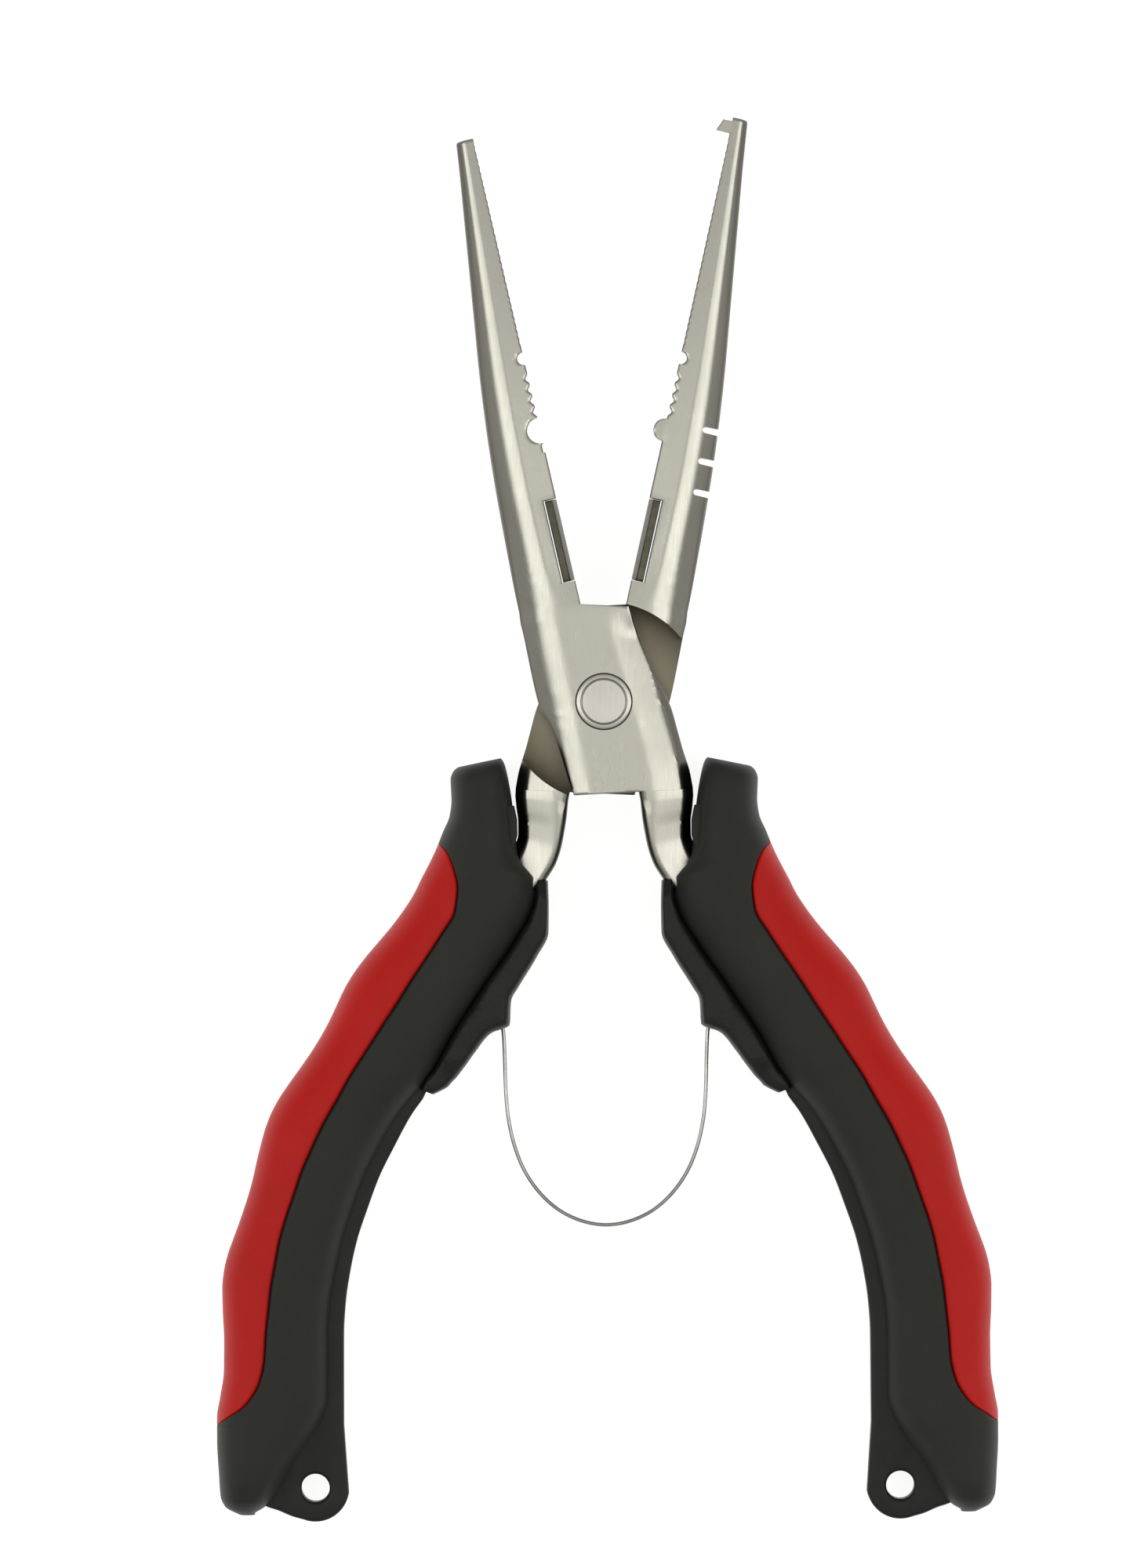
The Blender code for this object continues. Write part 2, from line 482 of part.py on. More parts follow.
for side, name in ((1, "right"), (-1, "left")):
    kind = "front" if side == 1 else "rear"
    stations = [7.7, 8.0, 8.7, 9.8, 12, 15, 17.5, 19.2, 20.4, 21.6, 23, 25] + spaced(28, 98, 25) + [100.2, 101.6, 102.7, 103.4]
    rings = [mirrored(grip_ring(v, full(22)), side) for v in stations]
    cover = loft(name + "_cover", rings, mat=BLACK)

    # the core: a nylon sleeve on the tang, with a spine and a lanyard eye
    inside = spaced(27, 90, 16)
    rings = [mirrored(grip_ring(v, full(14), WALL, 4.4, 2.6), side) for v in inside]
    core = loft(name + "_core", rings, mat=HARD)
    inside[0], inside[-1] = 26.6, 90.4
    rings = [mirrored(grip_ring(v, full(14), WALL - GAP, 4.4 + GAP, 2.6 - GAP), side) for v in inside]
    core_room = loft(name + "_core_room_cut", rings, cutter=True)

    def spine(grow):
        edge = [(SPINE(v) - grow, -v) for v in spaced(50.7 - grow, 92, 12)]
        round_off = [
            (EYE_X + (EYE_R + grow) * math.cos(a), -EYE_V + (EYE_R + grow) * math.sin(a))
            for a in [math.radians(190 + 100 * i / 9) for i in range(10)]
        ]
        back = [(40.2, -103.7 - grow), (42.0, -102.9 - grow), (43.6 + grow, -102.3 - grow), (44.6 + grow, -100.5), (44.6 + grow, -91.0)]
        up = [(SPINE(v) + 6.2, -v) for v in spaced(88, 53.5, 10)]
        return [(side * x, y) for x, y in edge + round_off + back + up + [(SPINE(50.7) + 3.0, -50.7 + grow)]]

    plate = prism(name + "_spine_join", spine(0.0), MID_Z - EYE_HALF, MID_Z + EYE_HALF, cutter=True)
    plate_room = prism(name + "_spine_room_cut", spine(GAP), MID_Z - EYE_HALF - GAP, MID_Z + EYE_HALF + GAP, cutter=True)
    boolean(core, "UNION", plate)
    tang_room = lever(kind, grow=GAP, only_tang=True, name=name + "_tang_room_cut", cutter=True)
    boolean(core, "DIFFERENCE", tang_room)
    eye = prism(name + "_eye_cut", disc(side * EYE_X, -EYE_V, EYE_HOLE, 28), 0, 14, cutter=True)
    boolean(core, "DIFFERENCE", eye)

    # the red inlay and its pocket
    places = [18.9, 19.8, 21.2, 23] + spaced(26, 86, 20) + [88, 89.6, 90.8]
    inlay = loft(name + "_inlay", [mirrored(inlay_ring(v, 0.0), side) for v in places], mat=RED)
    places = [18.4] + places + [91.3]
    pocket = loft(name + "_pocket_cut", [mirrored(inlay_ring(v, GAP), side) for v in places], cutter=True)
    for other in (core_room, plate_room, tang_room, pocket):
        boolean(cover, "DIFFERENCE", other)

    # the spring rail, with a boss that the wire's end turns in
    rings = []
    for v in [22.9, 24.5, 27, 29.4, 31.5, 34, 36.4, 37.9, 38.6, 40, 41.2, 42.2, 44.5, 46.5, 48.2]:
        lean = math.radians(LEAN(v))
        x0 = RAIL(v)
        reach_in = 0.5
        while reach_in < 9 and x0 + reach_in * math.cos(lean) < INNER(v - reach_in * math.sin(lean)) - 0.42:
            reach_in += 0.02
        tall = 4.7 if 25 < v < 47 else 3.9
        ring = []
        for u, z in ((0, 0.5), (0.12, 0.82), (0.35, 1.0), (0.8, 1.0), (1, 0.8), (1, -0.8), (0.8, -1), (0.35, -1), (0.12, -0.82), (0, -0.5)):
            ring.append((side * (x0 + reach_in * u * math.cos(lean)), -(v - reach_in * u * math.sin(lean)), MID_Z + z * tall))
        rings.append(ring)
    for (ax, av), (bx, bv) in (((20.5, 49.2), (22.45, 48.3)), ((22.0, 49.9), (23.2, 49.35))):
        rings.append([
            (side * (ax + (bx - ax) * u), -(av + (bv - av) * u), MID_Z + z * 3.6)
            for u, z in ((0, 0.5), (0.12, 0.82), (0.35, 1.0), (0.8, 1.0), (1, 0.8), (1, -0.8), (0.8, -1), (0.35, -1), (0.12, -0.82), (0, -0.5))
        ])  # fmt: skip
    rail = loft(name + "_rail", rings, mat=HARD)
    socket = prism(name + "_socket_cut", disc(side * SOCKET_X, -SOCKET_V, SOCKET_R, 20), MID_Z - 1.6, MID_Z + 2.6, cutter=True)
    boolean(rail, "DIFFERENCE", tang_room)
    boolean(rail, "DIFFERENCE", socket)
    fan = [(0.95, 0.35), (-0.95, 0.35), (-3.4, -3.6), (3.9, -4.6)]
    way = prism(
        name + "_wire_way_cut", [(side * (SOCKET_X + x), -SOCKET_V + y) for x, y in fan], MID_Z - 0.62, MID_Z + 0.62, cutter=True
    )  # fmt: skip
    boolean(rail, "DIFFERENCE", way)

# ---------------------------------------------------------------- the return spring
BOW = [
    (SOCKET_X, -SOCKET_V, 2.1), (SOCKET_X, -SOCKET_V, 0.9), (SOCKET_X, -SOCKET_V - 0.15, 0.25), (SOCKET_X + 0.02, -SOCKET_V - 0.9, 0.0),
    (12.95, -43.0, 0), (12.85, -46.0, 0), (12.75, -49.5, 0), (12.45, -53.0, 0), (11.7, -56.5, 0), (10.4, -59.8, 0),
    (8.4, -62.7, 0), (5.9, -64.9, 0), (3.0, -66.25, 0), (0.18, -66.78, 0),
]  # fmt: skip
for side, name in ((1, "spring_right"), (-1, "spring_left")):
    origin = (SOCKET_X, PIVOT_Y - SOCKET_V, MID_Z) if side == 1 else (0, PIVOT_Y - BOW_V, MID_Z)
    data = bpy.data.curves.new(name, "CURVE")
    data.dimensions = "3D"
    data.bevel_depth = WIRE_R * 0.001
    data.bevel_resolution = 1
    data.use_fill_caps = True
    spline = data.splines.new("POLY")
    spline.points.add(len(BOW) - 1)
    for point, (x, y, z) in zip(spline.points, BOW):
        here = Vector((side * x, y + PIVOT_Y, z + MID_Z)) - Vector(origin)
        point.co = (*(here * 0.001), 1)
    spline.use_smooth = True
    wire = bpy.data.objects.new(name, data)
    place(wire, origin, WIRE)
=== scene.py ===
import math

import bmesh
import bpy
from mathutils import Matrix, Vector


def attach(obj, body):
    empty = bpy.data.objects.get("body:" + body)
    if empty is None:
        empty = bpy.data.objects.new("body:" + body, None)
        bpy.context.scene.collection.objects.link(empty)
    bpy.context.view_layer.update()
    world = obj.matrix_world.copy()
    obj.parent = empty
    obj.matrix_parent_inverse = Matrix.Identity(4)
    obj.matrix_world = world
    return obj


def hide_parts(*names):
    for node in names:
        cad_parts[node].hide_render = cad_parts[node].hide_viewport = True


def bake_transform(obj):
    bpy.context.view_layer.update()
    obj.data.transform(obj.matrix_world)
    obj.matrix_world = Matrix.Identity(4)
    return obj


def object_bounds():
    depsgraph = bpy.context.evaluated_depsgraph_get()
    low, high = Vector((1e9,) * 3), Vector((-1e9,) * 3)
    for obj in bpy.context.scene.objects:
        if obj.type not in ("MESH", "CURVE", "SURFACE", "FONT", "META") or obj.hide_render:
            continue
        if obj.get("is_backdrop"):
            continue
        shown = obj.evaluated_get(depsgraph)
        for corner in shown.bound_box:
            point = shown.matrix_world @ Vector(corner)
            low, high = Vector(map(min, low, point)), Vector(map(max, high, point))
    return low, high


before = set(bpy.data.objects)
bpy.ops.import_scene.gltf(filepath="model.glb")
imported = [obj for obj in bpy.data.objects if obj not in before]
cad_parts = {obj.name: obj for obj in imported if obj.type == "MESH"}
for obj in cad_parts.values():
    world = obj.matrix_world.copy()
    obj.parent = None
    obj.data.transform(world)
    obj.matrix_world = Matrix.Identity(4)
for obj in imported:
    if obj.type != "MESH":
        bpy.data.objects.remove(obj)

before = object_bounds()

# ------------------------------------------------------------------ dimensions, mm, about the pivot
TH = math.radians(12.7)
MID = 7.0
HALF = 4.5
LAP_R = 12.75
FACE = 0.1
TIPS = {"front": 73.7, "rear": 76.3}
POWER = 2.5
EYE_X, EYE_V, EYE_R, EYE_HOLE = 37.25, 100.0, 4.3, 1.8
SOCKET_X, SOCKET_V = 13.1, 40.2
BOW_V = 66.8
WIRE_R = 0.25
PIVOT_Y = (EYE_V + EYE_R - TIPS["rear"] * math.cos(TH)) / 2


def curve(table):
    xs = [row[0] for row in table]
    ys = [row[1] for row in table]
    steps = [(ys[i + 1] - ys[i]) / (xs[i + 1] - xs[i]) for i in range(len(xs) - 1)]
    slopes = [steps[0]]
    for a, b in zip(steps, steps[1:]):
        slopes.append(0.0 if a * b <= 0 else 2 * a * b / (a + b))
    slopes.append(steps[-1])

    def value(x):
        if x <= xs[0]:
            return ys[0]
        if x >= xs[-1]:
            return ys[-1]
        i = max(k for k in range(len(xs) - 1) if xs[k] <= x)
        h = xs[i + 1] - xs[i]
        t = (x - xs[i]) / h
        return (
            ys[i] * (2 * t**3 - 3 * t**2 + 1)
            + ys[i + 1] * (3 * t**2 - 2 * t**3)
            + h * (slopes[i] * (t**3 - 2 * t**2 + t) + slopes[i + 1] * (t**3 - t**2))
        )

    return value


def spaced(low, high, count):
    return [low + (high - low) * i / (count - 1) for i in range(count)]


def smooth(a, b, x):
    t = min(max((x - a) / (b - a), 0.0), 1.0)
    return t * t * (3 - 2 * t)


# ------------------------------------------------------------------ mesh helpers
def mesh_from(name, points, faces):
    mesh = bpy.data.meshes.new(name)
    mesh.from_pydata([(x * 0.001, (y + PIVOT_Y) * 0.001, z * 0.001) for x, y, z in points], [], faces)
    bm = bmesh.new()
    bm.from_mesh(mesh)
    bmesh.ops.recalc_face_normals(bm, faces=bm.faces)
    bm.to_mesh(mesh)
    bm.free()
    obj = bpy.data.objects.new(name, mesh)
    bpy.context.scene.collection.objects.link(obj)
    return obj


def loft(name, rings, closed=True):
    points = [p for ring in rings for p in ring]
    n = len(rings[0])
    faces = []
    for k in range(len(rings) - 1):
        for i in range(n):
            j = (i + 1) % n
            faces.append((k * n + i, k * n + j, (k + 1) * n + j, (k + 1) * n + i))
    if closed:
        faces.append(tuple(range(n)))
        faces.append(tuple(reversed(range((len(rings) - 1) * n, len(rings) * n))))
    return mesh_from(name, points, faces)


def prism(name, outline, low, high):
    return loft(name, [[(x, y, low) for x, y in outline], [(x, y, high) for x, y in outline]])


def disc(x, y, radius, steps=96):
    turn = 2 * math.pi / steps
    return [(x + radius * math.cos(turn * (i + 0.37)), y + radius * math.sin(turn * (i + 0.37))) for i in range(steps)]


def boolean(obj, operation, other):
    made = obj.modifiers.new(other.name, "BOOLEAN")
    made.operation = operation
    made.solver = "EXACT"
    made.object = other


def settle(obj, angle=32, helpers=()):
    """Applies the modifiers, removes the helpers and shades the mesh smooth up to an angle."""
    bpy.context.view_layer.update()
    graph = bpy.context.evaluated_depsgraph_get()
    mesh = bpy.data.meshes.new_from_object(obj.evaluated_get(graph))
    obj.modifiers.clear()
    obj.data = mesh
    for helper in helpers:
        bpy.data.objects.remove(helper, do_unlink=True)
    mesh.shade_smooth()
    mesh.set_sharp_from_angle(angle=math.radians(angle))
    return obj


def rounded(obj, width, segments=3, angle=40):
    made = obj.modifiers.new("Rounded", "BEVEL")
    made.width = width * 0.001
    made.segments = segments
    made.limit_method = "ANGLE"
    made.angle_limit = math.radians(angle)
    made.use_clamp_overlap = True
    return obj


# ------------------------------------------------------------------ materials
class Nodes:
    """Builds one Principled material and the node chains that feed it."""

    def __init__(self, name, roughness, metallic=0.0, **inputs):
        self.material = bpy.data.materials.new(name)
        self.material.use_nodes = True
        self.tree = self.material.node_tree
        self.shader = self.tree.nodes["Principled BSDF"]
        self.shader.inputs["Roughness"].default_value = roughness
        self.shader.inputs["Metallic"].default_value = metallic
        for key, value in inputs.items():
            self.shader.inputs[key.replace("_", " ")].default_value = value
        self.coords = self.add("ShaderNodeTexCoord").outputs["Object"]

    def add(self, kind, **settings):
        node = self.tree.nodes.new(kind)
        for key, value in settings.items():
            setattr(node, key, value)
        return node

    def link(self, a, b):
        self.tree.links.new(a, b)

    def mapped(self, scale, turn=0.0):
        node = self.add("ShaderNodeMapping")
        node.inputs["Scale"].default_value = scale
        node.inputs["Rotation"].default_value = (0, 0, turn)
        self.link(self.coords, node.inputs["Vector"])
        return node.outputs["Vector"]

    def noise(self, scale, detail=4.0, roughness=0.55, vector=None):
        node = self.add("ShaderNodeTexNoise")
        node.inputs["Scale"].default_value = scale
        node.inputs["Detail"].default_value = detail
        node.inputs["Roughness"].default_value = roughness
        self.link(vector or self.coords, node.inputs["Vector"])
        return node.outputs["Fac"]

    def ramp(self, value, stops):
        node = self.add("ShaderNodeValToRGB")
        ramp = node.color_ramp
        while len(ramp.elements) < len(stops):
            ramp.elements.new(0.5)
        for element, (place, colour) in zip(ramp.elements, stops):
            element.position = place
            element.color = (*colour, 1) if len(colour) == 3 else colour
        self.link(value, node.inputs["Fac"])
        return node.outputs["Color"]

    def fit(self, value, low, high, a=0.0, b=1.0):
        node = self.add("ShaderNodeMapRange")
        node.inputs["From Min"].default_value = a
        node.inputs["From Max"].default_value = b
        node.inputs["To Min"].default_value = low
        node.inputs["To Max"].default_value = high
        self.link(value, node.inputs["Value"])
        return node.outputs["Result"]

    def mix(self, fac, a, b, blend="MIX"):
        node = self.add("ShaderNodeMix", data_type="RGBA", blend_type=blend)
        for socket, value in ((node.inputs[0], fac), (node.inputs[6], a), (node.inputs[7], b)):
            if hasattr(value, "is_output"):
                self.link(value, socket)
            else:
                socket.default_value = value if isinstance(value, float) else (*value, 1)
        return node.outputs[2]

    def math(self, operation, a, b=None):
        node = self.add("ShaderNodeMath", operation=operation)
        for socket, value in ((node.inputs[0], a), (node.inputs[1], b)):
            if value is None:
                continue
            if hasattr(value, "is_output"):
                self.link(value, socket)
            else:
                socket.default_value = value
        return node.outputs[0]

    def bump(self, height, strength, distance, after=None):
        node = self.add("ShaderNodeBump")
        node.inputs["Strength"].default_value = strength
        node.inputs["Distance"].default_value = distance
        self.link(height, node.inputs["Height"])
        if after is not None:
            self.link(after, node.inputs["Normal"])
        return node.outputs["Normal"]

    def upright(self):
        """1 on faces that lie flat, 0 on faces that stand up."""
        split = self.add("ShaderNodeSeparateXYZ")
        self.link(self.add("ShaderNodeTexCoord").outputs["Normal"], split.inputs[0])
        return self.math("ABSOLUTE", split.outputs["Z"])

    def set(self, key, value):
        self.link(value, self.shader.inputs[key])


def nickel(name, turn, light=(0.485, 0.475, 0.410), standing_shade=(0.115, 0.110, 0.090), rough=0.25, step_shadow=None):
    """Satin nickel: drawn grain along the lever, painted shade that darkens the faces as they stand up, faint stains
    and fine scratches. The optional last colour is a painted shadow that darkens the lap floor towards the step at its
    edge.
    """
    n = Nodes(name, rough, 1.0)
    grain = n.noise(1.0, 6.0, 0.6, n.mapped((5200, 260, 5200), turn))
    fine = n.noise(9000, 3.0, 0.6)
    stain = n.noise(140, 5.0, 0.6)
    # painted shade: the mask is 1 on faces that stand up, which take the dark colour, and 0 on flat faces, which take
    # the light one; the stain and grain tones get the same painted shade
    side = n.fit(n.upright(), 1.0, 0.0, 0.62, 0.90)
    base = n.mix(side, light, standing_shade)
    base = n.mix(n.fit(stain, 0.0, 0.22, 0.45, 0.75), base, n.mix(side, (0.40, 0.38, 0.325), standing_shade))
    base = n.mix(n.fit(grain, 0.0, 0.2, 0.35, 0.75), base, n.mix(side, (0.37, 0.36, 0.32), standing_shade))
    # painted shadow: the lap floor darkens over the last 4.6 mm before the step at LAP_R, where the step shades it
    if step_shadow:
        flat = n.add("ShaderNodeVectorMath", operation="MULTIPLY")
        n.link(n.coords, flat.inputs[0])
        flat.inputs[1].default_value = (1, 1, 0)
        away = n.add("ShaderNodeVectorMath", operation="DISTANCE")
        n.link(flat.outputs[0], away.inputs[0])
        away.inputs[1].default_value = (0, PIVOT_Y * 0.001, 0)
        base = n.mix(n.fit(away.outputs["Value"], 0.0, 0.9, (LAP_R - 4.6) * 0.001, LAP_R * 0.001), base, step_shadow)
    n.set("Base Color", base)
    rough_value = n.math("ADD", n.fit(grain, rough - 0.05, rough + 0.09), n.fit(stain, -0.03, 0.07))
    n.set("Roughness", rough_value)
    scratches = n.add("ShaderNodeTexVoronoi", feature="DISTANCE_TO_EDGE")
    scratches.inputs["Scale"].default_value = 1.0
    n.link(n.mapped((420, 90, 420), turn + 0.5), scratches.inputs["Vector"])
    scratch = n.fit(scratches.outputs["Distance"], 0.0, 1.0, 0.0, 0.02)
    first = n.bump(grain, 0.09, 0.00004)
    second = n.bump(scratch, 0.05, 0.00002, first)
    n.set("Normal", n.bump(fine, 0.05, 0.00002, second))
    return n.material


def rubber(name, colour, other, scuff, rough=0.56, grain=2600, depth=0.00004):
    """Soft overmould: fine moulded grain, slightly shiny worn patches, and a dusty sheen."""
    n = Nodes(name, rough, 0.0, Sheen_Weight=0.03, Sheen_Roughness=0.5, Specular_IOR_Level=0.22)
    fine = n.noise(grain, 5.0, 0.65)
    cells = n.add("ShaderNodeTexVoronoi", feature="SMOOTH_F1")
    cells.inputs["Scale"].default_value = grain * 0.6
    cells.inputs["Smoothness"].default_value = 0.6
    n.link(n.coords, cells.inputs["Vector"])
    broad = n.noise(75, 4.0, 0.6)
    patch = n.fit(broad, 0.0, 1.0, 0.42, 0.7)
    base = n.mix(patch, colour, other)
    base = n.mix(n.fit(n.noise(420, 6.0, 0.7), 0.0, 0.5, 0.6, 0.82), base, scuff)
    n.set("Base Color", base)
    n.set("Roughness", n.math("ADD", n.fit(fine, rough - 0.07, rough + 0.07), n.fit(broad, -0.06, 0.06)))
    first = n.bump(cells.outputs["Distance"], 0.35, depth)
    n.set("Normal", n.bump(fine, 0.3, depth * 0.7, first))
    return n.material


def nylon(name, colour, other, knurl=False):
    """Hard moulded nylon: spark-eroded texture, and on the rails a pebbled grip pattern."""
    n = Nodes(name, 0.46, 0.0, Specular_IOR_Level=0.25)
    fine = n.noise(3800, 4.0, 0.6)
    broad = n.noise(160, 4.0, 0.6)
    n.set("Base Color", n.mix(n.fit(broad, 0.0, 1.0, 0.35, 0.7), colour, other))
    n.set("Roughness", n.fit(fine, 0.36, 0.56))
    first = n.bump(fine, 0.3, 0.00004)
    if knurl:
        cells = n.add("ShaderNodeTexVoronoi", feature="F1")
        cells.inputs["Scale"].default_value = 1700
        n.link(n.coords, cells.inputs["Vector"])
        first = n.bump(cells.outputs["Distance"], 0.5, 0.00007, first)
    n.set("Normal", first)
    return n.material


def carbide():
    n = Nodes("dark_carbide", 0.42, 1.0)
    grain = n.noise(1.0, 5.0, 0.6, n.mapped((900, 900, 9000)))
    n.set("Base Color", n.mix(n.fit(n.noise(600, 4.0, 0.6), 0.0, 1.0, 0.3, 0.7), (0.085, 0.078, 0.055), (0.14, 0.13, 0.10)))
    n.set("Roughness", n.fit(grain, 0.34, 0.52))
    n.set("Normal", n.bump(grain, 0.3, 0.00004))
    return n.material


def wire_steel():
    n = Nodes("spring_steel", 0.24, 1.0)
    grain = n.noise(2400, 4.0, 0.6)
    n.set("Base Color", n.mix(n.fit(n.noise(300, 4.0, 0.6), 0.0, 1.0, 0.3, 0.7), (0.42, 0.41, 0.40), (0.30, 0.295, 0.285)))
    n.set("Roughness", n.fit(grain, 0.18, 0.34))
    n.set("Normal", n.bump(grain, 0.12, 0.00002))
    return n.material


# each nickel takes a colour for flat faces and a darker one, painted as shade on the faces that stand up
METAL = {
    "front": nickel("satin_nickel_front", -TH),
    "rear": nickel("satin_nickel_rear", TH),
}
# painted shade: a darker copy of the nickel for the recessed lap floors below the step, with a painted shadow that is
# darkest at the step
LAP_SHADED = nickel("lap_face_shaded", 0.6, (0.29, 0.265, 0.190), (0.10, 0.09, 0.065), 0.5, (0.085, 0.074, 0.048))
PIN = nickel("rivet_steel", 0.0, (0.60, 0.58, 0.52), (0.16, 0.15, 0.12), 0.3)
CARBIDE = carbide()
BLACK = rubber("black_overmould", (0.0195, 0.0205, 0.0165), (0.0240, 0.0250, 0.0205), (0.034, 0.035, 0.030))
RED = rubber("red_inlay", (0.50, 0.0035, 0.0010), (0.455, 0.004, 0.0012), (0.53, 0.014, 0.006), 0.5)
HARD = nylon("black_nylon", (0.0105, 0.0110, 0.0100), (0.0145, 0.0150, 0.0140))
RAIL_MAT = nylon("black_nylon_grip", (0.0090, 0.0090, 0.0085), (0.0135, 0.0135, 0.0125), knurl=True)
STEEL = wire_steel()


def finish_piece(obj, mat, body, slot, *nodes):
    obj.data.materials.clear()
    obj.data.materials.append(mat)
    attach(obj, body)
    if nodes:
        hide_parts(*nodes)
    return obj


# ------------------------------------------------------------------ the levers
JAW_OUT = curve(
    [(10, 8.0), (15, 7.95), (20, 7.8), (25, 7.6), (30, 7.35), (35, 7.0), (40, 6.55), (45, 6.0), (50, 5.35), (55, 4.7),
     (60, 4.05), (65, 3.4), (70, 2.75), (76.5, 2.0)]
)  # fmt: skip
JAW_HALF = curve([(12, HALF), (20, 4.3), (30, 3.9), (45, 3.2), (60, 2.35), (72, 1.65), (77, 1.4)])
HEAD_LEFT = [(-10.55, 9.9), (-10.2, 8.5), (-9.7, 6.0), (-9.2, 3.5), (-8.7, 1.2), (-8.1, -0.9), (-6.9, -2.8), (-6.0, -5.2), (-5.2, -7.8), (-4.4, -10.4), (-3.9, -11.8)]
HEAD_RIGHT = [(3.3, 12.1), (4.1, 9.2), (5.0, 6.8), (5.9, 4.6), (6.9, 2.6), (7.9, 0.8), (8.7, -1.2), (9.3, -3.4), (10.0, -6.0), (10.9, -8.9), (11.3, -11.0)]
TANG = [
    (4.6, -12.6, 11.35, -12.0), (4.8, -14.6, 11.2, -13.6), (5.1, -16.5, 11.0, -15.2), (5.5, -18.5, 11.0, -16.8),
    (6.2, -20.6, 11.4, -18.2), (7.6, -22.9, 12.2, -19.7),
]  # fmt: skip
TANG_LINE = curve(
    [(24, 12.6), (28, 16.2), (32, 19.4), (36, 22.4), (40, 25.0), (44, 27.6), (48, 30.2), (52, 32.6), (56, 34.8), (60, 36.6),
     (64, 38.2), (68, 39.5), (72, 40.5), (76, 41.0), (80, 41.2), (90, 41.4)]
)  # fmt: skip
TANG_HALF = curve([(11.7, 4.5), (12.6, 4.44), (24, 3.25), (28, 2.8), (32, 2.5), (92, 2.3)])
JAW_DROP_OUT = curve([(0, 0.86), (0.03, 0.70), (0.1, 0.53), (0.25, 0.24), (0.34, 0.11), (0.45, 0.03), (0.55, 0.0)])
JAW_DROP_IN = curve([(0, 0.14), (0.35, 0.03), (0.45, 0.0)])
# where the left bevel of the head meets its face, and the right one: height and x
RIDGE_LEFT = curve([(-13, -3.7), (-11.5, -3.95), (-6.2, -5.0), (-0.3, -6.15), (5.3, -7.3), (10.4, -8.2), (15.5, -9.3)])
RIDGE_RIGHT = curve([(-13, 10.1), (-9.5, 9.6), (-4.8, 8.5), (1.2, 6.8), (7.1, 5.05), (10.9, 3.8), (12.2, 3.4)])


def left_fall(u):
    return 0.0 if u >= 1.8 else 0.55 * (1 - u / 1.8) ** 1.4 if u >= 0 else 0.55 - 0.9 * u


def right_fall(u):
    return 0.0 if u >= 3.5 else 0.8 * (1 - u / 3.5) ** 1.25 if u >= 0 else 0.8 - 1.3 * u


def tang_fall(da, db):
    return 0.8 * max(0, 1 - da / 0.8) ** 1.6 + right_fall(db - 1.25)


ACROSS = [0.5 - 0.5 * math.cos(math.pi * i / 30) for i in range(31)]


def parts(split):
    """31 fractions, close together at both ends, with the 13th at the split."""
    return [split * (1 - math.cos(math.pi / 2 * i / 12)) for i in range(13)] + [
        split + (1 - split) * math.sin(math.pi / 2 * i / 18) for i in range(1, 19)
    ]


def section(a, b, half, drop, cut=0.0, fillet=0.22, across=ACROSS):
    """A ring from the outer point a to the inner point b: over the top, and back below. A cut takes that much off the inner
    edge, or adds to it where it is negative."""
    length = math.hypot(b[0] - a[0], b[1] - a[1])
    f = min(fillet, length * 0.06)
    top = []
    count = len(across)
    for i, part in enumerate(across):
        off = (1 - part) * length
        if cut > 0:
            off = max(off, cut + 0.012 * (count - 1 - i))
        elif cut < 0 and off < 0.9:
            off += cut * (1 - off / 0.9)
        part = 1 - off / length
        x, y = a[0] + (b[0] - a[0]) * part, a[1] + (b[1] - a[1]) * part
        da, db = length - off, off
        z = half - drop(min(da, length), max(db, 0.0), length)
        near = min(da, db - cut)
        if near < f:
            z -= f - math.sqrt(max(0.0, f * f - (f - near) ** 2))
        top.append((x, y, max(z, 0.12)))
    return [(x, y, MID + z) for x, y, z in top] + [(x, y, MID - z) for x, y, z in reversed(top)]


def jaw_cut(r, kind):
    face = 0.0
    if 15.85 < r < 26.65:
        face = 1.65
    if 37.2 < r < 43.0:
        face += 0.2 - 0.2 * math.cos((r - 37.2) / 5.8 * 8 * math.pi)
    if abs(r - 44.9) < 0.85:
        face += math.sqrt(0.85**2 - (r - 44.9) ** 2)
    if kind == "front" and abs(r - 35.5) < 1.7:
        face += math.sqrt(1.7**2 - (r - 35.5) ** 2)
    if kind == "front" and 32.6 < r < 33.8:
        face += 0.25
    if kind == "rear" and abs(r - 35.5) < 1.4:
        face -= math.sqrt(1.4**2 - (r - 35.5) ** 2)
    if kind == "rear" and 74.3 < r < 75.8:
        face -= 1.75 * (1 - (r - 74.3) / 1.5 * 0.35)
    # fine serrations on the long gripping face
    if 46.5 < r < TIPS["front"] - 0.6:
        face += 0.035 - 0.035 * math.cos((r - 46.5) / 0.9 * 2 * math.pi)
    return face


def jaw_point(r, t):
    return (-r * math.sin(TH) - t * math.cos(TH), r * math.cos(TH) - t * math.sin(TH))


def jaw_stations(kind):
    tip = TIPS[kind]
    rs = [tip, tip - 0.06, tip - 0.15, tip - 0.3]
    rs += [tip - 0.4 - 0.15 * i for i in range(int((tip - 0.4 - 46) / 0.15))]
    rs += spaced(46.0, 32.0, 141) + spaced(31.8, 13.3, 60)
    wide = 1.7 if kind == "front" else 1.4
    rs += [35.5 + wide * math.sin(math.radians(a)) for a in (-89.95, -80, 80, 89.95)]
    rs += [44.9 + 0.85 * math.sin(math.radians(a)) for a in (-89.95, -75, 75, 89.95)]
    for edge in (15.85, 26.65) + ((32.6,) if kind == "front" else (74.3, 75.8)):
        rs += [edge - 0.015, edge + 0.015]
    return sorted(set(round(r, 4) for r in rs), reverse=True)


def along(points, count):
    xs, ys = curve(list(enumerate(p[0] for p in points))), curve(list(enumerate(p[1] for p in points)))
    return [(xs(i), ys(i)) for i in spaced(0, len(points) - 1, count)]


